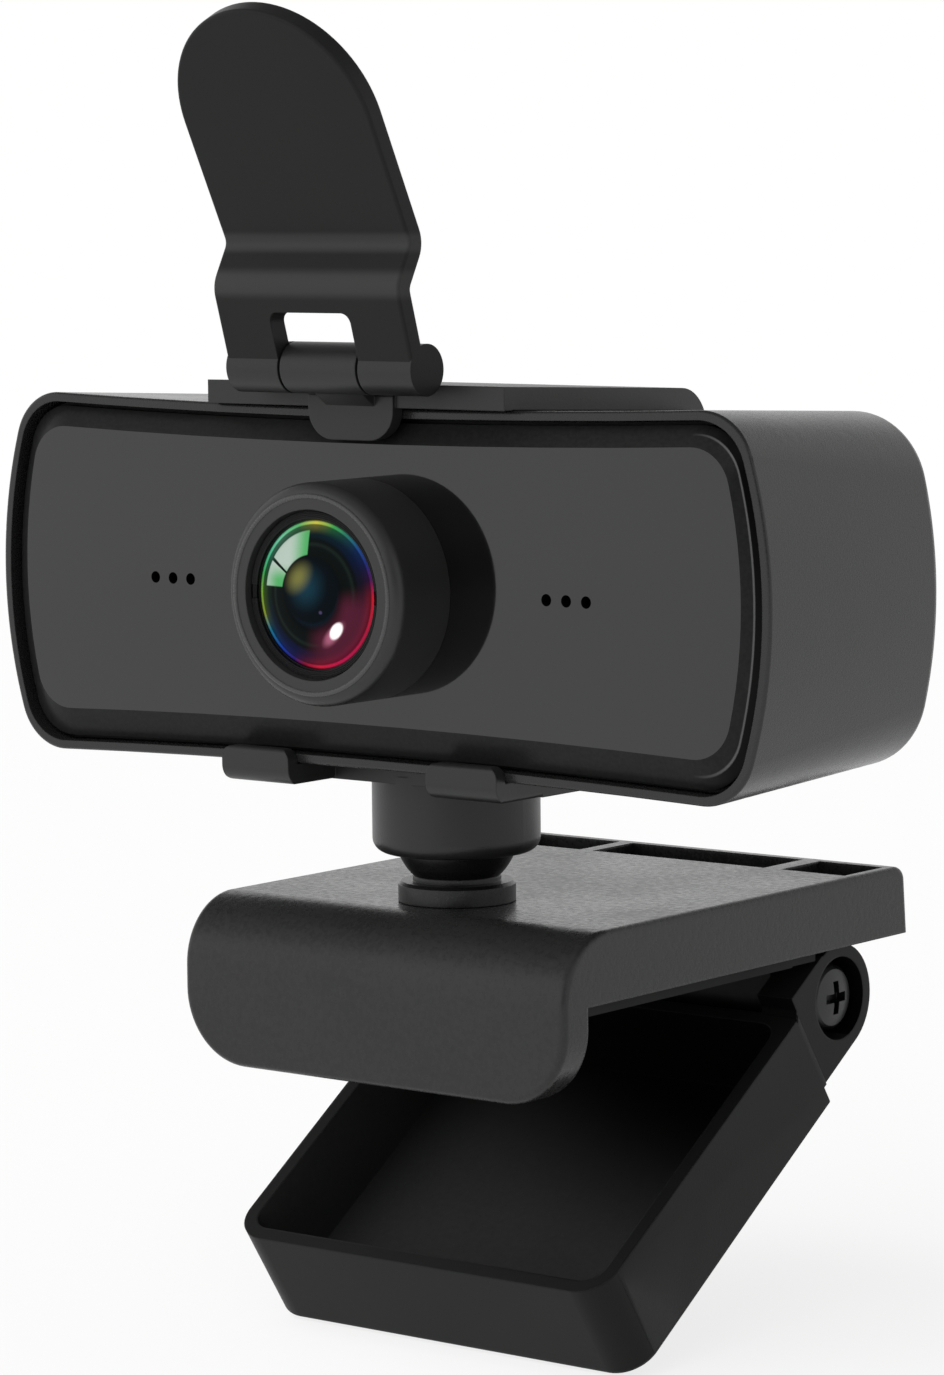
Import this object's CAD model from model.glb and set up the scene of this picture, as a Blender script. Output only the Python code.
"""Looks of a monitor-clip webcam with a flip-up privacy cover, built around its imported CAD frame."""

import logging
import math
from dataclasses import dataclass, field
from enum import Enum

import bmesh
import bpy
from bmesh.types import BMesh, BMVert
from bpy.types import Material, Mesh, Node, NodeSocket, NodeTree, Object, World
from mathutils import Euler, Matrix, Vector


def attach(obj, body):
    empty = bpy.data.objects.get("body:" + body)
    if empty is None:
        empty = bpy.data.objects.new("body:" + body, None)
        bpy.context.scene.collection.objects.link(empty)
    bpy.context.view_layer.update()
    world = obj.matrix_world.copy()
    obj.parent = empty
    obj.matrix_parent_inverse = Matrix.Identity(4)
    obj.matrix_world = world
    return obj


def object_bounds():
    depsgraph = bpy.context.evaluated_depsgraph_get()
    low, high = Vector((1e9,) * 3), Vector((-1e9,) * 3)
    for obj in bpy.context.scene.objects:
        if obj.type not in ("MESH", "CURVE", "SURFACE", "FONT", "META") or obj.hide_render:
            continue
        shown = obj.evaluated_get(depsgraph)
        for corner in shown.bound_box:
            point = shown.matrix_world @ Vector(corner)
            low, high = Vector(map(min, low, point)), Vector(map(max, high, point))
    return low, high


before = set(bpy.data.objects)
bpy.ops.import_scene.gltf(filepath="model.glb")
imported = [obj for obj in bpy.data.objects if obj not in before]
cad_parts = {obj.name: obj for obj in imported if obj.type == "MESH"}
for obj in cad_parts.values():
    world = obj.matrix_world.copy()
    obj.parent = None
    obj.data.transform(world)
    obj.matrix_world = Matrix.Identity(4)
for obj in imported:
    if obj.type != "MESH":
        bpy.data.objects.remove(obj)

CAD_BOX = [list(corner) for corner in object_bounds()]
MM = 0.001
MERGE_M = 1e-7
LENS_AXIS_Z_MM = 32.2
MADE: dict[str, Material] = {}

Colour = tuple[float, float, float, float]
Paint = NodeSocket | Colour
SoftStep = tuple[NodeSocket, float, float]

logging.basicConfig(level=logging.INFO, format="%(message)s")
LOG = logging.getLogger("webcam")


class Fineness(Enum):
    """How fine the spark-eroded grain of a mould is, as the grain's width in millimetres.

    Real craters are under 0.1 mm wide, so the grain is drawn coarser, enough for it to show.
    """

    FINE = 0.11
    MEDIUM = 0.16
    COARSE = 0.5


def linear(hex_colour: str, alpha: float = 1.0) -> Colour:
    """Turns an sRGB hex colour into the linear colour that a shader socket takes.

    Args:
        hex_colour: Six hex digits, such as "1a1a1a".
        alpha: The fourth channel.

    Returns:
        Red, green, blue and alpha, linear.
    """
    channels = [int(hex_colour[i : i + 2], 16) / 255 for i in (0, 2, 4)]
    flat = [c / 12.92 if c <= 0.04045 else ((c + 0.055) / 1.055) ** 2.4 for c in channels]
    return (flat[0], flat[1], flat[2], alpha)


def scaled(hex_colour: str, share: float) -> Colour:
    """Returns the linear colour, lighter or darker by share."""
    red, green, blue, alpha = linear(hex_colour)
    return (red * share, green * share, blue * share, alpha)


def add(
    tree: NodeTree, kind: str, links: dict[str | int, object] | None = None, **settings: object
) -> Node:
    """Adds one node, with its settings, its input values and its links.

    Args:
        tree: The node tree.
        kind: The node's type, without the "ShaderNode" at its front.
        links: Input name or index to an output socket, or to a plain value.
        **settings: Attributes of the node itself.

    Returns:
        The new node.
    """
    node = tree.nodes.new("ShaderNode" + kind)
    for name, value in settings.items():
        setattr(node, name, value)
    for name, value in (links or {}).items():
        if isinstance(value, NodeSocket):
            tree.links.new(value, node.inputs[name])
        else:
            node.inputs[name].default_value = value
    return node


def set_ramp(node: Node, stops: list[tuple[float, Colour]]) -> None:
    """Gives a colour ramp its stops.

    Args:
        node: A ValToRGB node.
        stops: Pairs of position and linear colour, in order.
    """
    ramp = node.color_ramp
    while len(ramp.elements) > 1:
        ramp.elements.remove(ramp.elements[-1])
    ramp.elements[0].position, ramp.elements[0].color = stops[0]
    for position, colour in stops[1:]:
        ramp.elements.new(position).color = colour


def layer(
    tree: NodeTree, under: Paint, top: Paint, steps: list[SoftStep], strength: float = 1.0
) -> NodeSocket:
    """Lays a colour over another wherever all of its soft steps hold.

    Args:
        tree: The node tree.
        under: The colour below, as a socket or a linear colour.
        top: The colour above, likewise.
        steps: For each soft step, the socket that it reads, and where on it the step is 0 and 1.
        strength: How much of the top colour shows where all the steps hold.

    Returns:
        The mixed colour's socket.
    """
    factors: list[NodeSocket | float] = []
    for value, start, end in steps:
        step = add(
            tree, "MapRange",
            {"Value": value, "From Min": min(start, end), "From Max": max(start, end),
             "To Min": float(start > end), "To Max": float(start < end)},
            interpolation_type="SMOOTHSTEP",
        ).outputs["Result"]
        factors.append(step)
    if strength < 1:
        factors.append(strength)
    mask = factors[0]
    for factor in factors[1:]:
        mask = add(tree, "Math", {0: mask, 1: factor}, operation="MULTIPLY").outputs[0]
    return add(tree, "Mix", {"Factor": mask, 6: under, 7: top}, data_type="RGBA").outputs[2]


@dataclass(frozen=True)
class Finish:
    """What every finish has: its material name and its base colour."""

    name: str
    colour: str

    def start(self) -> tuple[Material, NodeTree, Node, Node]:
        """Starts the material.

        Returns:
            The material, its tree, its Principled shader, and a node with the place in millimetres.
        """
        material = bpy.data.materials.new(self.name)
        material.use_nodes = True
        tree = material.node_tree
        tree.nodes.clear()
        shader = add(tree, "BsdfPrincipled", {"Base Color": linear(self.colour)})
        add(tree, "OutputMaterial", {"Surface": shader.outputs[0]})
        place = add(tree, "TexCoord")
        millimetres = add(
            tree, "VectorMath", {0: place.outputs["Object"], 1: (1 / MM,) * 3}, operation="MULTIPLY"
        )
        material.diffuse_color = linear(self.colour)
        return material, tree, shader, millimetres

    def build(self) -> Material:
        """Returns the material, plain."""
        return self.start()[0]

    def material(self) -> Material:
        """Gives the finish's material, which is made the first time that it's asked for.

        Returns:
            The material.
        """
        if self.name not in MADE:
            MADE[self.name] = self.build()
        return MADE[self.name]


@dataclass(frozen=True)
class MouldedPlastic(Finish):
    """Injection-moulded ABS from a spark-eroded mould: an even grain that breaks up the gloss."""

    roughness: float = 0.42
    ior: float = 1.5
    grain: Fineness = Fineness.FINE
    grain_depth_mm: float = 0.010
    tone: float = 0.12
    edge_mm: float = 0.14
    gloss_swing: float = 0.06
    flow_mm: float = 9.0
    flow_share: float = 0.35
    crease_heights_mm: tuple[tuple[float, float], ...] = ()
    crease_colour: str = "000000"
    crease_soft: tuple[float, float] = (1.35, 0.55)
    fade_axis: tuple[float, float, float] | None = None
    fade_span_mm: tuple[float, float] = (0.0, 1.0)
    fade_dark: float = 0.06

    def build(self) -> Material:
        """Makes the material.

        Returns:
            The material: grain in colour, roughness and bump, over slow flow marks.
        """
        material, tree, shader, place = self.start()
        shader.inputs["IOR"].default_value = self.ior
        # spark-eroded grain, drawn coarser than real craters so that it shows
        grain = add(
            tree, "TexNoise",
            {"Vector": place.outputs[0], "Scale": 1 / self.grain.value, "Detail": 2.0, "Roughness": 0.6},
        )
        # slow variation, as wide as the front of the melt, so that no face is one flat tone
        flow = add(
            tree, "TexNoise",
            {"Vector": place.outputs[0], "Scale": 1 / self.flow_mm, "Detail": 3.0, "Roughness": 0.5},
        )
        both = add(
            tree, "Mix", {"Factor": self.flow_share, "A": grain.outputs["Fac"], "B": flow.outputs["Fac"]},
            data_type="FLOAT",
        )
        colours = add(tree, "ValToRGB", {"Fac": both.outputs["Result"]})
        dark, pale = (scaled(self.colour, 1 + share) for share in (-self.tone, self.tone))
        set_ramp(colours, [(0.3, dark), (0.7, pale)])
        colour = colours.outputs["Color"]
        # the mould is rubbed smoother along a bend, which leaves a paler band there
        for height, half_width in self.crease_heights_mm:
            axes = add(tree, "SeparateXYZ", {"Vector": place.outputs[0]})
            off = add(tree, "Math", {0: axes.outputs["Z"], 1: height}, operation="SUBTRACT")
            off = add(tree, "Math", {0: off.outputs[0]}, operation="ABSOLUTE")
            outer, inner = (half_width * share for share in self.crease_soft)
            colour = layer(tree, colour, linear(self.crease_colour), [(off.outputs[0], outer, inner)])
        # deep in a tray the grain is left coarse and holds no polish, so it darkens along one axis
        if self.fade_axis:
            along = add(tree, "VectorMath", {0: place.outputs[0], 1: self.fade_axis}, operation="DOT_PRODUCT")
            darkest = scaled(self.colour, self.fade_dark)
            colour = layer(tree, darkest, colour, [(along.outputs["Value"], *self.fade_span_mm)])
        tree.links.new(colour, shader.inputs["Base Color"])
        rough = add(
            tree, "MapRange",
            {"Value": both.outputs["Result"], "From Min": 0.3, "From Max": 0.7,
             "To Min": self.roughness - self.gloss_swing, "To Max": self.roughness + self.gloss_swing},
        )
        tree.links.new(rough.outputs["Result"], shader.inputs["Roughness"])
        # the steel of the mould can't cut a sharp edge, so each one catches a little light
        edge = add(tree, "Bevel", {"Radius": self.edge_mm * MM}, samples=4)
        bump = add(
            tree, "Bump",
            {"Height": grain.outputs["Fac"], "Distance": self.grain_depth_mm * MM,
             "Normal": edge.outputs["Normal"]},
        )
        tree.links.new(bump.outputs["Normal"], shader.inputs["Normal"])
        return material


@dataclass(frozen=True)
class PolishedAcrylic(Finish):
    """Cast black acrylic with a polished face: a sharp reflection with a trace of wiping haze."""

    roughness: float = 0.03
    ior: float = 1.49
    haze: float = 0.035
    wipe_mm: tuple[float, float, float] = (6.0, 1.0, 1.5)

    def build(self) -> Material:
        """Makes the material.

        Returns:
            The material: near-mirror gloss, hazed in long soft wipes.
        """
        material, tree, shader, place = self.start()
        shader.inputs["IOR"].default_value = self.ior
        # wiping haze, in streaks about 6 mm by 1.5 mm
        per_mm = tuple(1 / width for width in self.wipe_mm)
        stretch = add(tree, "Mapping", {"Vector": place.outputs[0], "Scale": per_mm})
        haze = add(
            tree, "TexNoise",
            {"Vector": stretch.outputs[0], "Scale": 1.0, "Detail": 4.0, "Roughness": 0.55},
        )
        rough = add(
            tree, "MapRange",
            {"Value": haze.outputs["Fac"], "From Min": 0.35, "From Max": 0.75,
             "To Min": self.roughness, "To Max": self.roughness + self.haze},
        )
        tree.links.new(rough.outputs["Result"], shader.inputs["Roughness"])
        return material


@dataclass(frozen=True)
class MilledEdge(Finish):
    """The panel's milled bevel: dull, with one flame-polished line where the cutter stepped."""

    roughness: float = 0.30
    ior: float = 1.2
    line_y_mm: float = -10.84
    line_half_mm: float = 0.035
    line_from_x_mm: tuple[float, float] = (31.0, 34.5)
    line_colour: str = "565656"
    outer_colour: str = "020202"
    outer_soft_mm: float = 0.06
    mark_mm: float = 0.3

    def build(self) -> Material:
        """Makes the material.

        Returns:
            The material: dull black, blacker outside the line, the line only at the right end.
        """
        material, tree, shader, place = self.start()
        shader.inputs["IOR"].default_value = self.ior
        shader.inputs["Roughness"].default_value = self.roughness
        axes = add(tree, "SeparateXYZ", {"Vector": place.outputs[0]})
        # cutter marks over the bevel's own tone, drawn coarser than real ones so that they show
        marks = add(tree, "TexNoise", {"Vector": place.outputs[0], "Scale": 1 / self.mark_mm, "Detail": 2.0})
        tones = add(tree, "ValToRGB", {"Fac": marks.outputs["Fac"]})
        set_ramp(tones, [(0.35, scaled(self.colour, 0.85)), (0.65, scaled(self.colour, 1.15))])
        outside = add(
            tree, "MapRange",
            {"Value": axes.outputs["Y"], "From Min": self.line_y_mm,
             "From Max": self.line_y_mm + self.outer_soft_mm},
        )
        right = add(
            tree, "MapRange",
            {"Value": axes.outputs["X"], "From Min": self.line_from_x_mm[0],
             "From Max": self.line_from_x_mm[1]},
        ).outputs["Result"]
        off = add(tree, "Math", {0: axes.outputs["Y"], 1: self.line_y_mm}, operation="SUBTRACT")
        off = add(tree, "Math", {0: off.outputs[0]}, operation="ABSOLUTE")
        line = add(
            tree, "MapRange",
            {"Value": off.outputs[0], "From Min": self.line_half_mm * 0.5,
             "From Max": self.line_half_mm * 1.5, "To Min": 1.0, "To Max": 0.0},
        )
        colour = tones.outputs["Color"]
        for band, tint in ((outside, self.outer_colour), (line, self.line_colour)):
            mask = add(tree, "Math", {0: band.outputs["Result"], 1: right}, operation="MULTIPLY")
            inputs = {"Factor": mask.outputs[0], 6: colour, 7: linear(tint)}
            colour = add(tree, "Mix", inputs, data_type="RGBA").outputs[2]
        tree.links.new(colour, shader.inputs["Base Color"])
        return material


@dataclass(frozen=True)
class MouldedRubber(Finish):
    """Compression-moulded rubber: no gloss, a powdery bloom and a fine open skin."""

    roughness: float = 0.85
    ior: float = 1.4
    grain_mm: float = 0.2
    grain_depth_mm: float = 0.02
    bloom_mm: float = 5.0

    def build(self) -> Material:
        """Makes the material.

        Returns:
            The material: matt, with a faint bloom.
        """
        material, tree, shader, place = self.start()
        shader.inputs["IOR"].default_value = self.ior
        shader.inputs["Roughness"].default_value = self.roughness
        # the skin's pores, drawn coarser than real ones so that they show
        skin = add(
            tree, "TexNoise",
            {"Vector": place.outputs[0], "Scale": 1 / self.grain_mm, "Detail": 3.0, "Roughness": 0.7},
        )
        bloom = add(tree, "TexNoise", {"Vector": place.outputs[0], "Scale": 1 / self.bloom_mm, "Detail": 2.0})
        colours = add(tree, "ValToRGB", {"Fac": bloom.outputs["Fac"]})
        set_ramp(colours, [(0.35, scaled(self.colour, 0.85)), (0.7, scaled(self.colour, 1.25))])
        tree.links.new(colours.outputs["Color"], shader.inputs["Base Color"])
        bump = add(tree, "Bump", {"Height": skin.outputs["Fac"], "Distance": self.grain_depth_mm * MM})
        tree.links.new(bump.outputs["Normal"], shader.inputs["Normal"])
        return material


@dataclass(frozen=True)
class TurnedMetal(Finish):
    """Cold-headed or turned metal: fine marks from the tool and from handling in the gloss."""

    roughness: float = 0.35
    metallic: float = 1.0
    mark_mm: float = 0.12
    mark_depth_mm: float = 0.004
    gloss_swing: tuple[float, float] = (0.08, 0.12)
    edge_mm: float = 0.08

    def build(self) -> Material:
        """Makes the material.

        Returns:
            The material: metal whose gloss varies in fine marks.
        """
        material, tree, shader, place = self.start()
        shader.inputs["Metallic"].default_value = self.metallic
        # the tool's marks, drawn coarser than real ones so that they show
        marks = add(
            tree, "TexNoise",
            {"Vector": place.outputs[0], "Scale": 1 / self.mark_mm, "Detail": 3.0, "Roughness": 0.6},
        )
        rough = add(
            tree, "MapRange",
            {"Value": marks.outputs["Fac"], "From Min": 0.3, "From Max": 0.7,
             "To Min": self.roughness - self.gloss_swing[0],
             "To Max": self.roughness + self.gloss_swing[1]},
        )
        tree.links.new(rough.outputs["Result"], shader.inputs["Roughness"])
        edge = add(tree, "Bevel", {"Radius": self.edge_mm * MM}, samples=4)
        bump = add(
            tree, "Bump",
            {"Height": marks.outputs["Fac"], "Distance": self.mark_depth_mm * MM,
             "Normal": edge.outputs["Normal"]},
        )
        tree.links.new(bump.outputs["Normal"], shader.inputs["Normal"])
        return material


@dataclass(frozen=True)
class LensPlace:
    """Where a point lies on the glass, as sockets of the lens's node tree.

    Across and up are 1 at the rim, as share is, which is the distance from the axis. Turn is the
    angle round the axis, 0 to 1 from the left by way of the bottom.
    """

    tree: NodeTree
    across: NodeSocket
    up: NodeSocket
    share: NodeSocket
    turn: NodeSocket


@dataclass(frozen=True)
class CoatedLens(Finish):
    """Ground and polished crown glass with anti-reflection coats, blackened behind.

    The coats show as a rim whose colour turns with the angle, and the glass behind shows as
    rings, a mirrored two-pane window at the upper left and a rose flare at the lower right.
    """

    roughness: float = 0.04
    ior: float = 1.1
    radius_mm: float = 5.75
    window_edge: float = 0.09
    window_inner: float = 0.545
    window_outer: float = 0.865
    pane_soft: float = 0.012
    mullion_deg: float = 148.5
    mullion_turn: tuple[float, float] = (0.003, 0.0065)
    pane_grey: str = "a4b4a9"
    pane_green: str = "4a9c5c"
    flare_rose: str = "4a1a2c"
    rim_glow: float = 0.22

    def build(self) -> Material:
        """Makes the material.

        Returns:
            The material: dark glass, with its rings, flares, window and rim laid over each other.
        """
        material, tree, shader, place = self.start()
        shader.inputs["Roughness"].default_value = self.roughness
        shader.inputs["IOR"].default_value = self.ior
        middle, scale = (0, 0, LENS_AXIS_Z_MM), (1 / self.radius_mm,) * 3
        centred = add(tree, "VectorMath", {0: place.outputs[0], 1: middle}, operation="SUBTRACT")
        unit = add(tree, "VectorMath", {0: centred.outputs[0], 1: scale}, operation="MULTIPLY")
        axes = add(tree, "SeparateXYZ", {"Vector": unit.outputs[0]})
        across, up = axes.outputs["X"], axes.outputs["Z"]
        flat = add(tree, "CombineXYZ", {"X": across, "Y": up})
        share = add(tree, "VectorMath", {0: flat.outputs[0]}, operation="LENGTH").outputs["Value"]
        angle = add(tree, "Math", {0: up, 1: across}, operation="ARCTAN2")
        turn = add(tree, "MapRange", {"Value": angle.outputs[0], "From Min": -math.pi, "From Max": math.pi})
        glass = LensPlace(tree, across, up, share, turn.outputs["Result"])
        colour = self.behind(glass)
        for lay in (self.flare, self.window, self.rim):
            colour = lay(glass, colour)
        tree.links.new(colour, shader.inputs["Base Color"])
        return material

    def behind(self, glass: LensPlace) -> NodeSocket:
        """Makes the colour behind the front face: rings, tinted by their angle near the rim.

        Args:
            glass: The place on the glass.

        Returns:
            The colour's socket.
        """
        tree = glass.tree
        tint = add(tree, "ValToRGB", {"Fac": glass.turn})
        set_ramp(tint, [(at, linear(colour)) for at, colour in (
            (0.0, "0c1c12"), (0.10, "0a1428"), (0.18, "0c1030"), (0.26, "281020"), (0.42, "2a0e1c"),
            (0.52, "140e18"), (0.60, "08122a"), (0.70, "081a22"), (0.80, "081414"), (1.0, "0c1c12"),
        )])
        rings = add(tree, "ValToRGB", {"Fac": glass.share})
        set_ramp(rings, [(at, linear(colour)) for at, colour in (
            (0.0, "0a1a26"), (0.40, "08131c"), (0.47, "04080a"), (0.53, "080c0b"), (0.64, "080e0e"),
            (0.68, "151e1b"), (0.72, "080d0d"), (0.92, "050809"), (1.0, "040505"),
        )])
        outer = [(glass.share, 0.72, 0.80), (glass.share, 0.97, 0.90)]
        return layer(tree, rings.outputs["Color"], tint.outputs["Color"], outer)

    def flare(self, glass: LensPlace, under: NodeSocket) -> NodeSocket:
        """Adds the coats' flares: olive at the upper left of the inner glass, rose at the lower right.

        Args:
            glass: The place on the glass.
            under: The colour below.

        Returns:
            The colour's socket.
        """
        tree = glass.tree
        colour = layer(tree, under, linear(self.flare_rose), [
            (glass.share, 0.38, 0.62), (glass.share, 0.94, 0.88),
            (glass.turn, 0.20, 0.31), (glass.turn, 0.54, 0.45),
        ])
        spots = [
            # centre, half axes, turn in degrees, edge softness, strength, colour
            ((-0.035, 0.070), (0.50, 0.47), 0, 0.10, 0.95, "050b10"),
            ((-0.09, 0.10), (0.42, 0.38), 40, 1.00, 0.90, "123240"),
            ((-0.235, 0.225), (0.34, 0.24), 40, 1.00, 0.80, "75733a"),
            ((0.148, -0.226), (0.040, 0.034), 0, 0.70, 0.70, "4c4468"),
            ((0.335, -0.515), (0.30, 0.115), 42, 0.70, 0.85, "a8607a"),
            ((0.385, -0.465), (0.165, 0.095), 48, 0.35, 1.00, "fff6f7"),
        ]
        flat = add(tree, "CombineXYZ", {"X": glass.across, "Y": glass.up})
        for centre, axes, turned, soft, strength, tint in spots:
            moved = add(
                tree, "Mapping",
                {"Vector": flat.outputs[0], "Location": (*centre, 0),
                 "Rotation": (0, 0, math.radians(turned)), "Scale": (*axes, 1)},
                vector_type="TEXTURE",
            )
            away = add(tree, "VectorMath", {0: moved.outputs[0]}, operation="LENGTH").outputs["Value"]
            spot = [(away, 1.0, 1.0 - soft), (glass.share, 0.95, 0.90)]
            colour = layer(tree, colour, linear(tint), spot, strength)
        return colour

    def window(self, glass: LensPlace, under: NodeSocket) -> NodeSocket:
        """Adds the mirrored window: two panes with a dark bar between them.

        Args:
            glass: The place on the glass.
            under: The colour below.

        Returns:
            The colour's socket.
        """
        tree = glass.tree
        grey, green = linear(self.pane_grey), linear(self.pane_green)
        panes = layer(tree, grey, green, [(glass.across, -0.45, -0.10), (glass.up, 0.2, 0.4)])
        panes = layer(tree, panes, green, [(glass.up, 0.42, 0.16), (glass.across, -0.95, -0.60)])
        bar = add(tree, "Math", {0: glass.turn, 1: 0.5 + self.mullion_deg / 360}, operation="SUBTRACT")
        off_bar = add(tree, "Math", {0: bar.outputs[0]}, operation="ABSOLUTE")
        edge, soft = self.window_edge, self.pane_soft
        return layer(tree, under, panes, [
            (glass.across, -edge + soft, -edge - soft),
            (glass.up, edge - soft, edge + soft),
            (glass.share, self.window_inner - soft, self.window_inner + soft),
            (glass.share, self.window_outer + soft, self.window_outer - soft),
            (off_bar.outputs[0], *self.mullion_turn),
        ])

    def rim(self, glass: LensPlace, under: NodeSocket) -> NodeSocket:
        """Adds the coloured rim of the coats, a thin bright ring with a soft inner side.

        Args:
            glass: The place on the glass.
            under: The colour below.

        Returns:
            The colour's socket.
        """
        tree = glass.tree
        rim_colours = add(tree, "ValToRGB", {"Fac": glass.turn})
        stops = [
            (-180, "6f9a38"), (-162, "7a8a30"), (-148, "1f6a86"), (-130, "1c3898"), (-115, "2c1c66"),
            (-104, "7a1430"), (-88, "c41c3a"), (-60, "b0184a"), (-30, "a81a3c"), (0, "b81c2c"),
            (14, "4a1650"), (27, "20286e"), (42, "1e4480"), (58, "2a7462"), (72, "3fa050"),
            (90, "c8c048"), (108, "5ab068"), (130, "6fc09a"), (150, "4ab084"), (165, "3f9a50"),
            (180, "6f9a38"),
        ]
        set_ramp(rim_colours, [((degrees + 180) / 360, linear(tint)) for degrees, tint in stops])
        coat_colour = rim_colours.outputs["Color"]
        colour = layer(tree, under, coat_colour, [(glass.share, 0.80, 0.97)], self.rim_glow)
        return layer(tree, colour, coat_colour, [(glass.share, 0.935, 0.958), (glass.share, 0.995, 0.975)])


# black ABS off a spark-eroded mould: an even satin, broken by a grain that just shows
HOUSING_ABS = MouldedPlastic(
    "spark_textured_black_abs_housing", "1e1e1e", roughness=0.27, ior=1.44, grain=Fineness.MEDIUM,
    grain_depth_mm=0.014,
)
CRADLE_ABS = MouldedPlastic(
    "spark_textured_black_abs_cradle", "202020", roughness=0.38, ior=1.42, grain=Fineness.MEDIUM
)
# the same from a coarser mould: the grain sparkles where light grazes it, and edges are soft
CLIP_ABS = MouldedPlastic(
    "spark_textured_black_abs_clip", "252525", roughness=0.28, ior=1.36, grain=Fineness.COARSE,
    grain_depth_mm=0.022, gloss_swing=0.09, tone=0.16, edge_mm=0.3,
)
# flatter still, with no polish at all inside the tray, where the mould is left as sparked
LEG_ABS = MouldedPlastic(
    "spark_textured_black_abs_leg", "191919", roughness=0.45, ior=1.2, grain=Fineness.MEDIUM, edge_mm=0.25
)
LEG_INSIDE_ABS = MouldedPlastic(
    "coarse_sparked_black_abs_tray", "323232", roughness=0.60, ior=1.12, grain=Fineness.COARSE,
    fade_axis=(-0.35, -0.834, -0.552), fade_span_mm=(-14.0, 5.0),
)
# satin ABS: smooth and dark, paler along the cover's two bends and on its rubbed knuckles
COVER_ABS = MouldedPlastic(
    "satin_moulded_black_abs_cover", "1f1f1f", roughness=0.38, ior=1.2,
    crease_heights_mm=((56.0, 1.0), (59.1, 0.7)), crease_colour="343434",
)
KNUCKLE_ABS = MouldedPlastic("rubbed_black_abs_knuckles", "222222", roughness=0.34, ior=1.38)
BARREL_ABS = MouldedPlastic("satin_moulded_black_abs_barrel", "262626", roughness=0.36, ior=1.42)
# burnished ABS: a thin bright line of gloss on a bead
LIP_ABS = MouldedPlastic("burnished_black_abs_lens_lip", "363636", roughness=0.26)
# electrocoated steel: paint, so a plastic gloss over turned marks
POST_STEEL = TurnedMetal("black_electrocoated_turned_steel", "0f0f0f", roughness=0.32, metallic=0.0)
# plain PC-ABS of inner parts: dull, near black
INNER_ABS = MouldedPlastic(
    "plain_black_pc_abs_inner", "0c0c0c", roughness=0.60, ior=1.3, grain=Fineness.COARSE
)
# cast acrylic: a mirror on the face, dull where it's milled, dead black where it's sawn
PANEL = PolishedAcrylic("polished_black_cast_acrylic", "0b0b0b", ior=1.63)
PANEL_EDGE = MilledEdge("milled_black_acrylic_edge", "1c1c1c")
PANEL_WALL = MouldedPlastic("sawn_black_acrylic_wall", "060606", roughness=0.60, ior=1.2)
# moulded rubber and foam: no gloss, and a grey bloom
PAD_RUBBER = MouldedRubber("moulded_black_rubber_pad", "161616")
GLAND_RUBBER = MouldedRubber("moulded_black_rubber_gland", "151515", grain_mm=0.15)
TAPE = MouldedRubber("closed_cell_black_foam_tape", "0c0c0c", grain_mm=0.25)
# fasteners and turned metal: a metal's own gloss, in fine marks
BLACK_STEEL = TurnedMetal("black_oxide_cold_headed_steel", "3e3e3f", roughness=0.36)
ZINC_STEEL = TurnedMetal("zinc_plated_steel", "a9abad", roughness=0.30)
PIN_STEEL = TurnedMetal("ground_steel_pin", "8d8f92", roughness=0.25)
LENS_METAL = TurnedMetal("black_anodised_aluminium_cell", "161618", roughness=0.42, metallic=0.6)
CAPSULE_METAL = TurnedMetal("drawn_aluminium_capsule", "b0b0b0", roughness=0.35)
# natural nylon: cream, with a waxy gloss
NYLON = MouldedPlastic("natural_moulded_nylon", "c9c4b4", roughness=0.45)
# crown glass: dark, with the colours of its coats in front and a plain gloss inside
LENS_GLASS = CoatedLens("coated_crown_glass_front", "0a0d10")
INNER_GLASS = PolishedAcrylic("coated_crown_glass_inner", "0b1512", roughness=0.02, ior=1.52)
# solder mask: glossy green; chip epoxy: matt charcoal
BOARD_FR4 = MouldedPlastic("green_solder_mask_fr4", "12402a", roughness=0.30, grain_depth_mm=0.004)
CHIP_EPOXY = MouldedPlastic("transfer_moulded_epoxy", "151515", roughness=0.6)


def coat(node: str, *finishes: Finish) -> Mesh:
    """Gives a CAD node its material slots.

    Args:
        node: The node's name.
        *finishes: The finish of each slot, in order.

    Returns:
        The node's mesh.
    """
    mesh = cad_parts[node].data
    mesh.materials.clear()
    for finish in finishes:
        mesh.materials.append(finish.material())
    LOG.info("%s: %s", node, ", ".join(finish.name for finish in finishes))
    return mesh


@dataclass
class SubAssembly:
    """The CAD nodes and new pieces that ride on one body, and what they're finished with."""

    body: str = ""
    finishes: dict[str, Finish] = field(default_factory=dict)

    def dress(self) -> None:
        """Gives every CAD node of this sub-assembly its finish."""
        for node, finish in self.finishes.items():
            coat(node, finish)

    def keep(self, shape: BMesh, name: str, finish: Finish, slot: str, sharp_deg: float = 35) -> Object:
        """Turns a finished bmesh into a piece that rides on the body.

        Args:
            shape: The mesh, in metres in the row frame. It is freed.
            name: The piece's name.
            finish: What it's finished with.
            slot: The record's material slot that it takes its finish from.
            sharp_deg: Edges that turn more than this stay sharp.

        Returns:
            The piece.
        """
        bmesh.ops.recalc_face_normals(shape, faces=shape.faces)
        mesh = bpy.data.meshes.new(name)
        shape.to_mesh(mesh)
        shape.free()
        mesh.shade_smooth()
        mesh.set_sharp_from_angle(angle=math.radians(sharp_deg))
        mesh.materials.append(finish.material())
        piece = bpy.data.objects.new(name, mesh)
        bpy.context.scene.collection.objects.link(piece)
        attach(piece, self.body)
        LOG.info("%s: new piece on %s, %d faces", name, self.body, len(mesh.polygons))
        return piece

    def build(self) -> None:
        """Dresses the nodes. A sub-assembly with pieces of its own adds them."""
        self.dress()


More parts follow.
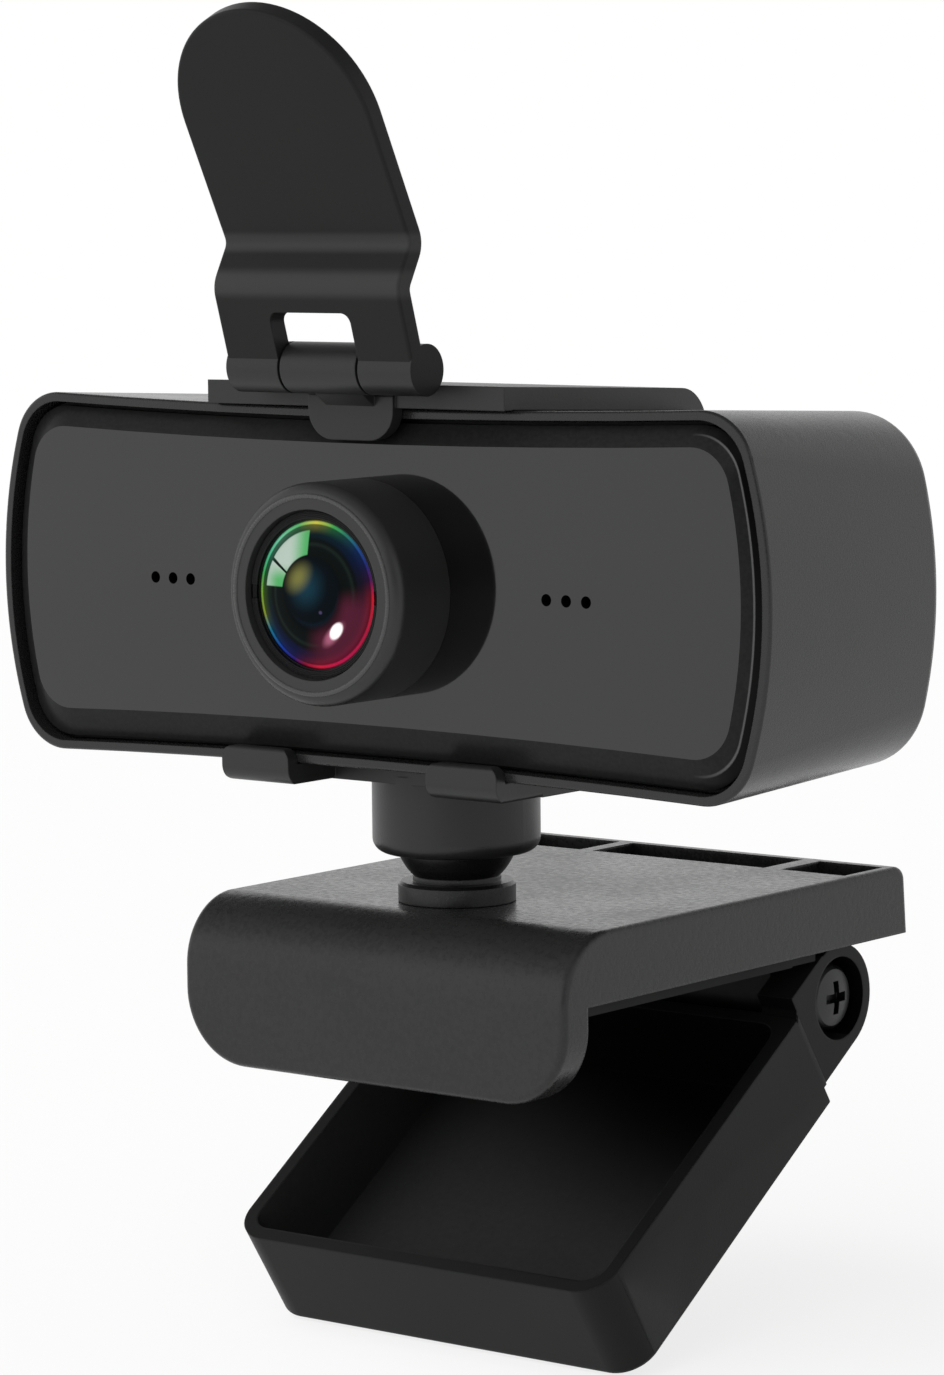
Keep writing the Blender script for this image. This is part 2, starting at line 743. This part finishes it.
def spun(profile_mm: list[tuple[float, float]], axis_z_mm: float, steps: int) -> BMesh:
    """Spins a closed outline into a ring round a level axis that runs front to back.

    Args:
        profile_mm: Corners of the outline, as radius and y.
        axis_z_mm: Height of the axis.
        steps: How many steps the full turn takes.

    Returns:
        The ring, in metres.
    """
    shape = bmesh.new()
    corners = [shape.verts.new((radius * MM, y * MM, 0)) for radius, y in profile_mm]
    edges = [shape.edges.new(pair) for pair in zip(corners, corners[1:] + corners[:1])]
    bmesh.ops.spin(
        shape, geom=corners + edges, cent=(0, 0, 0), axis=(0, 1, 0), dvec=(0, 0, 0),
        angle=2 * math.pi, steps=steps, use_merge=True, use_duplicate=False,
    )
    bmesh.ops.translate(shape, verts=shape.verts, vec=(0, 0, axis_z_mm * MM))
    bmesh.ops.recalc_face_normals(shape, faces=shape.faces)
    return shape


@dataclass
class MonitorClip(SubAssembly):
    """The clip that hangs on a monitor's edge, with its rubber pad and hinge screws."""

    body: str = "clip"
    finishes: dict[str, Finish] = field(default_factory=lambda: {
        "clip_bracket": CLIP_ABS,
        "clip_underplate": INNER_ABS,
        "rest_pad": PAD_RUBBER,
        "underplate_screws": ZINC_STEEL,
        "hinge_screws": BLACK_STEEL,
        "hinge_washers": NYLON,
    })


@dataclass
class FoldingLeg(SubAssembly):
    """The tray-shaped leg that braces the clip against the monitor's back."""

    body: str = "leg"
    hinge_mm: tuple[float, float] = (26.58, -3.5)
    tilt_deg: float = 33.5
    side_mm: float = 18.9
    tray_start_mm: float = 5.45
    tray_middle_mm: float = 21.7
    step_mm: float = 0.16
    step_least_mm: float = 0.015
    step_round_mm: float = 0.10
    wall_end_mm: float = 34.8
    wall_facing: float = 0.99
    slack_mm: float = 0.05
    end_share: float = 0.01
    finishes: dict[str, Finish] = field(default_factory=lambda: {"clip_leg": LEG_ABS})

    @property
    def run(self) -> Vector:
        """The direction in which the tray runs from its hinge."""
        tilt = math.radians(self.tilt_deg)
        return Vector((0, -math.cos(tilt), -math.sin(tilt)))

    @property
    def hinge(self) -> Vector:
        """A point on the hinge's axis, in metres."""
        return Vector((0, *self.hinge_mm)) * MM

    def dress_inside(self) -> None:
        """Gives the tray's inside, all that faces its middle, its own coarser finish."""
        mesh = coat("clip_leg", LEG_ABS, LEG_INSIDE_ABS)
        middle = self.hinge + self.run * self.tray_middle_mm * MM
        for polygon in mesh.polygons:
            polygon.material_index = int(polygon.normal.dot(middle - polygon.center) > 0)

    def tray_step(self, side: int) -> Object:
        """Makes the step where the tray's wall stands proud of the arm, from the wall's own face.

        The step is highest by the arm and thins out along the wall.

        Args:
            side: 1 for the right wall, -1 for the left.

        Returns:
            The piece.
        """
        shape = bmesh.new()
        shape.from_mesh(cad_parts["clip_leg"].data)
        bmesh.ops.remove_doubles(shape, verts=shape.verts, dist=MERGE_M)
        inner_x = (self.side_mm - self.slack_mm) * MM
        others = [
            face for face in shape.faces
            if face.normal.x * side < self.wall_facing or abs(face.calc_center_median().x) < inner_x
        ]
        bmesh.ops.delete(shape, geom=others, context="FACES")
        tray_start = self.hinge + self.run * (self.tray_start_mm + self.slack_mm) * MM
        bmesh.ops.bisect_plane(
            shape, geom=shape.verts[:] + shape.edges[:] + shape.faces[:], dist=MERGE_M,
            plane_co=tray_start, plane_no=self.run, clear_inner=True,
        )
        bmesh.ops.dissolve_limit(
            shape, angle_limit=math.radians(1), verts=shape.verts[:], edges=shape.edges[:], delimit=set()
        )
        grown = bmesh.ops.extrude_face_region(shape, geom=shape.faces[:])
        fresh = [item for item in grown["geom"] if isinstance(item, BMVert)]
        span = (self.wall_end_mm - self.tray_start_mm) * MM
        ends = []
        for vert in fresh:
            along = ((vert.co - self.hinge).dot(self.run) - self.tray_start_mm * MM) / span
            vert.co.x += side * (self.step_least_mm + self.step_mm * max(0.0, 1 - along)) * MM
            if along < self.end_share:
                ends.append(vert)
        end_edges = [edge for edge in shape.edges if edge.verts[0] in ends and edge.verts[1] in ends]
        bmesh.ops.bevel(
            shape, geom=end_edges, offset=self.step_round_mm * MM, offset_type="OFFSET", segments=2,
            profile=0.5, affect="EDGES", material=-1,
        )
        name = "leg_tray_step_right" if side > 0 else "leg_tray_step_left"
        return self.keep(shape, name, LEG_ABS, "clip_plastic")

    def build(self) -> None:
        """Dresses the tray, and adds the steps at its walls."""
        self.dress_inside()
        self.tray_step(1)
        self.tray_step(-1)


@dataclass
class SwivelPost(SubAssembly):
    """The post that turns in the clip's top and carries the ball."""

    body: str = "swivel"
    finishes: dict[str, Finish] = field(default_factory=lambda: {
        "swivel_post": POST_STEEL,
        "post_washer": ZINC_STEEL,
        "post_screw": ZINC_STEEL,
    })


@dataclass
class BallSeat(SubAssembly):
    """The nylon liner between the ball and the head's cup."""

    body: str = "seat"
    finishes: dict[str, Finish] = field(default_factory=lambda: {"ball_seat": NYLON})


@dataclass
class Cradle(SubAssembly):
    """The strap round the head, with the cup below it and the cover's pin above it."""

    body: str = "head"
    finishes: dict[str, Finish] = field(default_factory=lambda: {
        "cradle": CRADLE_ABS,
        "seat_cap": INNER_ABS,
        "hinge_pin": PIN_STEEL,
    })


@dataclass
class CameraHead(SubAssembly):
    """The head's shell, its glossy front panel and the boards and microphones inside."""

    body: str = "head"
    face_facing: float = 0.999
    bevel_facing: float = 0.2
    finishes: dict[str, Finish] = field(default_factory=lambda: {
        "head_housing": HOUSING_ABS,
        "front_carrier": INNER_ABS,
        "carrier_screws": ZINC_STEEL,
        "panel_adhesive": TAPE,
        "main_board": BOARD_FR4,
        "board_screws": ZINC_STEEL,
        "image_processor": CHIP_EPOXY,
        "usb_header": NYLON,
        "mic_boots": GLAND_RUBBER,
        "microphones": CAPSULE_METAL,
        "cable_gland": GLAND_RUBBER,
    })

    def dress_panel(self) -> None:
        """Polishes the panel's face, and leaves its bevel and its walls duller."""
        mesh = coat("front_panel", PANEL, PANEL_EDGE, PANEL_WALL)
        for polygon in mesh.polygons:
            facing = -polygon.normal.y
            polygon.material_index = int(facing <= self.face_facing) + int(facing <= self.bevel_facing)

    def build(self) -> None:
        """Dresses the nodes and the panel's three surfaces."""
        self.dress()
        self.dress_panel()


@dataclass
class LensAssembly(SubAssembly):
    """The lens ring, the glass in its cell and the sensor behind, with two turned rings in front."""

    body: str = "head"
    face_y_mm: float = -17.7
    cell_y_mm: float = -16.95
    lip_radius_mm: float = 7.62
    lip_width_mm: float = 0.42
    lip_rise_mm: float = 0.10
    sunk_mm: tuple[float, float] = (0.03, 0.02)
    ring_inner_mm: float = 5.88
    ring_outer_mm: float = 6.42
    ring_height_mm: float = 0.26
    ring_chamfer_mm: float = 0.05
    ring_outer_flat_mm: float = 0.04
    ring_grooves: int = 3
    groove_mm: float = 0.06
    notch_half_deg: float = 4.5
    notch_depth_mm: float = 0.14
    steps: int = 144
    finishes: dict[str, Finish] = field(default_factory=lambda: {
        "lens_barrel": BARREL_ABS,
        "lens_cell": LENS_METAL,
        "front_element": LENS_GLASS,
        "spacer_ring": LENS_METAL,
        "inner_element": INNER_GLASS,
        "rear_element": INNER_GLASS,
        "lens_holder": INNER_ABS,
        "ir_filter": INNER_GLASS,
        "image_sensor": CHIP_EPOXY,
    })

    def bezel_lip(self) -> Object:
        """Makes the thin bright bead that stands on the outer edge of the lens ring's face.

        Returns:
            The piece.
        """
        half = self.lip_width_mm / 2
        front, back = self.face_y_mm - self.lip_rise_mm, self.face_y_mm + self.sunk_mm[0]
        shoulder = front + self.lip_rise_mm * 0.35
        # half of the bead's outline, from its foot to its crown, as shares of its half width
        rise = [(1.0, back), (0.75, shoulder), (0.3, front)]
        outline = [(self.lip_radius_mm - half * share, y) for share, y in rise]
        outline += [(self.lip_radius_mm + half * share, y) for share, y in reversed(rise)]
        shape = spun(outline, LENS_AXIS_Z_MM, self.steps)
        return self.keep(shape, "lens_bezel_lip", LIP_ABS, "barrel_plastic", sharp_deg=75)

    def retaining_ring(self) -> Object:
        """Makes the ring that holds the front glass: fine grooves, and two notches for a spanner.

        Returns:
            The piece.
        """
        back, front = self.cell_y_mm - self.sunk_mm[1], self.cell_y_mm - self.ring_height_mm
        inner, outer, chamfer = self.ring_inner_mm, self.ring_outer_mm, self.ring_chamfer_mm
        pitch = (outer - inner - 2 * self.groove_mm) / self.ring_grooves
        outline = [(inner, back), (inner, front + chamfer), (inner + chamfer, front)]
        for groove in range(self.ring_grooves):
            start = inner + self.groove_mm + groove * pitch
            # each groove is a V between these shares of its pitch
            for share, depth in ((0.35, 0.0), (0.6, self.groove_mm), (0.85, 0.0)):
                outline.append((start + pitch * share, front + depth))
        outline += [(outer - self.ring_outer_flat_mm, front), (outer, front + chamfer), (outer, back)]
        shape = spun(outline, LENS_AXIS_Z_MM, self.steps)
        self.cut_notches(shape, front)
        return self.keep(shape, "lens_retaining_ring", LENS_METAL, "lens_black")

    def cut_notches(self, shape: BMesh, front_mm: float) -> None:
        """Sinks two spanner notches into a ring's front face, left and right.

        Args:
            shape: The ring.
            front_mm: The y of its front face.
        """
        for side in (-1, 1):
            faces = []
            for face in shape.faces:
                middle = face.calc_center_median()
                angle = math.degrees(math.atan2(middle.z - LENS_AXIS_Z_MM * MM, side * middle.x))
                on_front = middle.y < (front_mm + self.groove_mm + 0.01) * MM
                if abs(angle) < self.notch_half_deg and on_front:
                    faces.append(face)
            sunk = bmesh.ops.extrude_face_region(shape, geom=faces)
            moved = [item for item in sunk["geom"] if isinstance(item, BMVert)]
            bmesh.ops.translate(shape, verts=moved, vec=(0, self.notch_depth_mm * MM, 0))
            bmesh.ops.delete(shape, geom=faces, context="FACES")

    def build(self) -> None:
        """Dresses the nodes and adds the two rings."""
        self.dress()
        self.bezel_lip()
        self.retaining_ring()


@dataclass
class PrivacyCover(SubAssembly):
    """The folded cover that swings down over the lens, its knuckles rubbed a little brighter."""

    body: str = "cover"
    axis_mm: tuple[float, float] = (-14.56, 49.48)
    knuckle_radius_mm: float = 2.0
    knuckle_slack_mm: float = 0.06
    knuckle_outward_mm: float = 1.9

    def build(self) -> None:
        """Dresses the cover, with a second finish on the round of its knuckles."""
        mesh = coat("privacy_flap", COVER_ABS, KNUCKLE_ABS)
        for polygon in mesh.polygons:
            from_axis = polygon.center.yz / MM - Vector(self.axis_mm)
            at_radius = abs(from_axis.length - self.knuckle_radius_mm) < self.knuckle_slack_mm
            outward = polygon.normal.yz.dot(from_axis) > self.knuckle_outward_mm
            polygon.material_index = int(at_radius and outward)


@dataclass
class Studio:
    """The camera, the floor, the white surround and the lamps."""

    image_width: int = 944
    image_height: int = 1375
    camera_place_mm: tuple[float, float, float] = (235.766, -296.549, 64.443)
    azimuth_deg: float = 38.282
    pitch_deg: float = -6.171
    roll_deg: float = -0.576
    focal_px: float = 4781.19
    sensor_mm: float = 36.0
    clip_m: tuple[float, float] = (0.02, 60.0)
    floor_gap_mm: float = 0.3
    floor_half_m: float = 6.0
    floor_fade_m: tuple[float, float] = (0.25, 0.9)
    surround_level: float = 0.38
    floor_glow: float = 0.8
    card_height: tuple[float, float] = (0.40, 0.72)
    card_reach: tuple[float, float] = (0.80, 0.95)
    card_level: float = 0.16

    def place_camera(self) -> Object:
        """Makes the camera and makes it the scene's own.

        Returns:
            The camera object.
        """
        data = bpy.data.cameras.new("studio_camera")
        data.sensor_fit = "VERTICAL"
        data.sensor_height = self.sensor_mm
        data.sensor_width = self.sensor_mm * self.image_width / self.image_height
        data.lens = self.focal_px / self.image_height * self.sensor_mm
        data.clip_start, data.clip_end = self.clip_m
        camera = bpy.data.objects.new("studio_camera", data)
        bpy.context.scene.collection.objects.link(camera)
        turn = (
            Matrix.Rotation(math.radians(self.azimuth_deg), 4, "Z")
            @ Matrix.Rotation(math.radians(90 + self.pitch_deg), 4, "X")
            @ Matrix.Rotation(math.radians(self.roll_deg), 4, "Z")
        )
        camera.matrix_world = Matrix.Translation(Vector(self.camera_place_mm) * MM) @ turn
        bpy.context.scene.camera = camera
        return camera

    def lay_floor(self) -> Object:
        """Makes the floor, a plain white sheet just under the object.

        Returns:
            The floor object.
        """
        shape = bmesh.new()
        bmesh.ops.create_grid(shape, x_segments=2, y_segments=2, size=self.floor_half_m)
        level = CAD_BOX[0][2] - self.floor_gap_mm * MM
        bmesh.ops.translate(shape, verts=shape.verts, vec=(0, 0, level))
        mesh = bpy.data.meshes.new("floor")
        shape.to_mesh(mesh)
        shape.free()
        floor = bpy.data.objects.new("floor", mesh)
        bpy.context.scene.collection.objects.link(floor)
        material = bpy.data.materials.new("white_paper_floor")
        material.use_nodes = True
        tree = material.node_tree
        tree.nodes.clear()
        paper = add(tree, "BsdfDiffuse", {"Color": linear("ffffff")})
        glow = add(tree, "Emission", {"Color": linear("ffffff")})
        # near the object the paper takes its shadow, far off it is as white as the surround
        place = add(tree, "TexCoord")
        reach = add(tree, "VectorMath", {0: place.outputs["Object"]}, operation="LENGTH")
        fade = add(
            tree, "MapRange",
            {"Value": reach.outputs["Value"], "From Min": self.floor_fade_m[0],
             "From Max": self.floor_fade_m[1]},
            interpolation_type="SMOOTHSTEP",
        )
        # the sheet is lit from below as well, which is seen and mirrored but doesn't light the object
        path = add(tree, "LightPath")
        seen = add(
            tree, "Math", {0: path.outputs["Is Camera Ray"], 1: path.outputs["Is Glossy Ray"]},
            operation="MAXIMUM",
        )
        lit = add(tree, "Math", {0: seen.outputs[0], 1: self.floor_glow}, operation="MULTIPLY")
        share = add(tree, "Math", {0: fade.outputs["Result"], 1: lit.outputs[0]}, operation="MAXIMUM")
        mixed = add(tree, "MixShader", {0: share.outputs[0], 1: paper.outputs[0], 2: glow.outputs[0]})
        add(tree, "OutputMaterial", {"Surface": mixed.outputs[0]})
        mesh.materials.append(material)
        return floor

    def surround(self) -> World:
        """Makes the surround: white where it is seen or mirrored, softer where it lights.

        Returns:
            The world.
        """
        world = bpy.data.worlds.new("white_surround")
        world.use_nodes = True
        tree = world.node_tree
        tree.nodes.clear()
        path = add(tree, "LightPath")
        seen = path.outputs["Is Camera Ray"]
        for kind in ("Glossy", "Transmission"):
            inputs = {0: seen, 1: path.outputs[f"Is {kind} Ray"]}
            seen = add(tree, "Math", inputs, operation="MAXIMUM").outputs[0]
        level = add(tree, "MapRange", {"Value": seen, "To Min": self.surround_level})
        # black cards, seen only in the gloss: one overhead, and one round the camera
        place = add(tree, "TexCoord")
        axes = add(tree, "SeparateXYZ", {"Vector": place.outputs["Generated"]})
        overhead = add(
            tree, "MapRange",
            {"Value": axes.outputs["Z"], "From Min": self.card_height[0], "From Max": self.card_height[1],
             "To Min": 1.0, "To Max": self.card_level},
            interpolation_type="SMOOTHSTEP",
        )
        turn = math.radians(self.azimuth_deg)
        towards = add(
            tree, "VectorMath",
            {0: place.outputs["Generated"], 1: (math.sin(turn), -math.cos(turn), 0.0)},
            operation="DOT_PRODUCT",
        )
        round_camera = add(
            tree, "MapRange",
            {"Value": towards.outputs["Value"], "From Min": self.card_reach[0],
             "From Max": self.card_reach[1], "To Min": 1.0, "To Max": self.card_level},
            interpolation_type="SMOOTHSTEP",
        )
        cards = add(
            tree, "Math", {0: overhead.outputs["Result"], 1: round_camera.outputs["Result"]},
            operation="MULTIPLY",
        )
        gloss = add(
            tree, "Mix", {"Factor": path.outputs["Is Glossy Ray"], "A": 1.0, "B": cards.outputs[0]},
            data_type="FLOAT",
        )
        level = add(
            tree, "Math", {0: level.outputs["Result"], 1: gloss.outputs["Result"]}, operation="MULTIPLY"
        )
        white = add(tree, "Background", {"Color": linear("ffffff"), "Strength": level.outputs[0]})
        add(tree, "OutputWorld", {"Surface": white.outputs[0]})
        world.cycles.sampling_method = "NONE"
        bpy.context.scene.world = world
        return world

    def hang_lamp(self, name: str, azimuth: float, height: float, strength: float, spread: float) -> None:
        """Hangs one far, soft lamp.

        Args:
            name: The lamp's name.
            azimuth: Where it stands, in degrees round from the front.
            height: Its angle above the floor, in degrees.
            strength: Its light on a face square to it, in watts per square metre.
            spread: How wide it looks from the object, in degrees.
        """
        data = bpy.data.lights.new(name, "SUN")
        data.energy = strength
        data.angle = math.radians(spread)
        lamp = bpy.data.objects.new(name, data)
        bpy.context.scene.collection.objects.link(lamp)
        # the lamp is a bounced one, so that its disc doesn't show in the gloss
        lamp.visible_glossy = False
        lamp.rotation_euler = Euler((math.radians(90 - height), 0, math.radians(azimuth)))

    def build(self) -> None:
        """Sets up the whole studio."""
        self.place_camera()
        self.lay_floor()
        self.surround()
        self.hang_lamp("key_lamp", azimuth=-20, height=36, strength=2.8, spread=90)
        bpy.context.scene.view_settings.view_transform = "Standard"


def main() -> None:
    """Builds and dresses every sub-assembly in order."""
    Studio().build()
    parts = (
        MonitorClip(), FoldingLeg(), SwivelPost(), BallSeat(), Cradle(), CameraHead(), LensAssembly(),
        PrivacyCover(),
    )
    for part in parts:
        LOG.info("-- %s on %s", type(part).__name__, part.body)
        part.build()


if __name__ == "__main__":
    main()
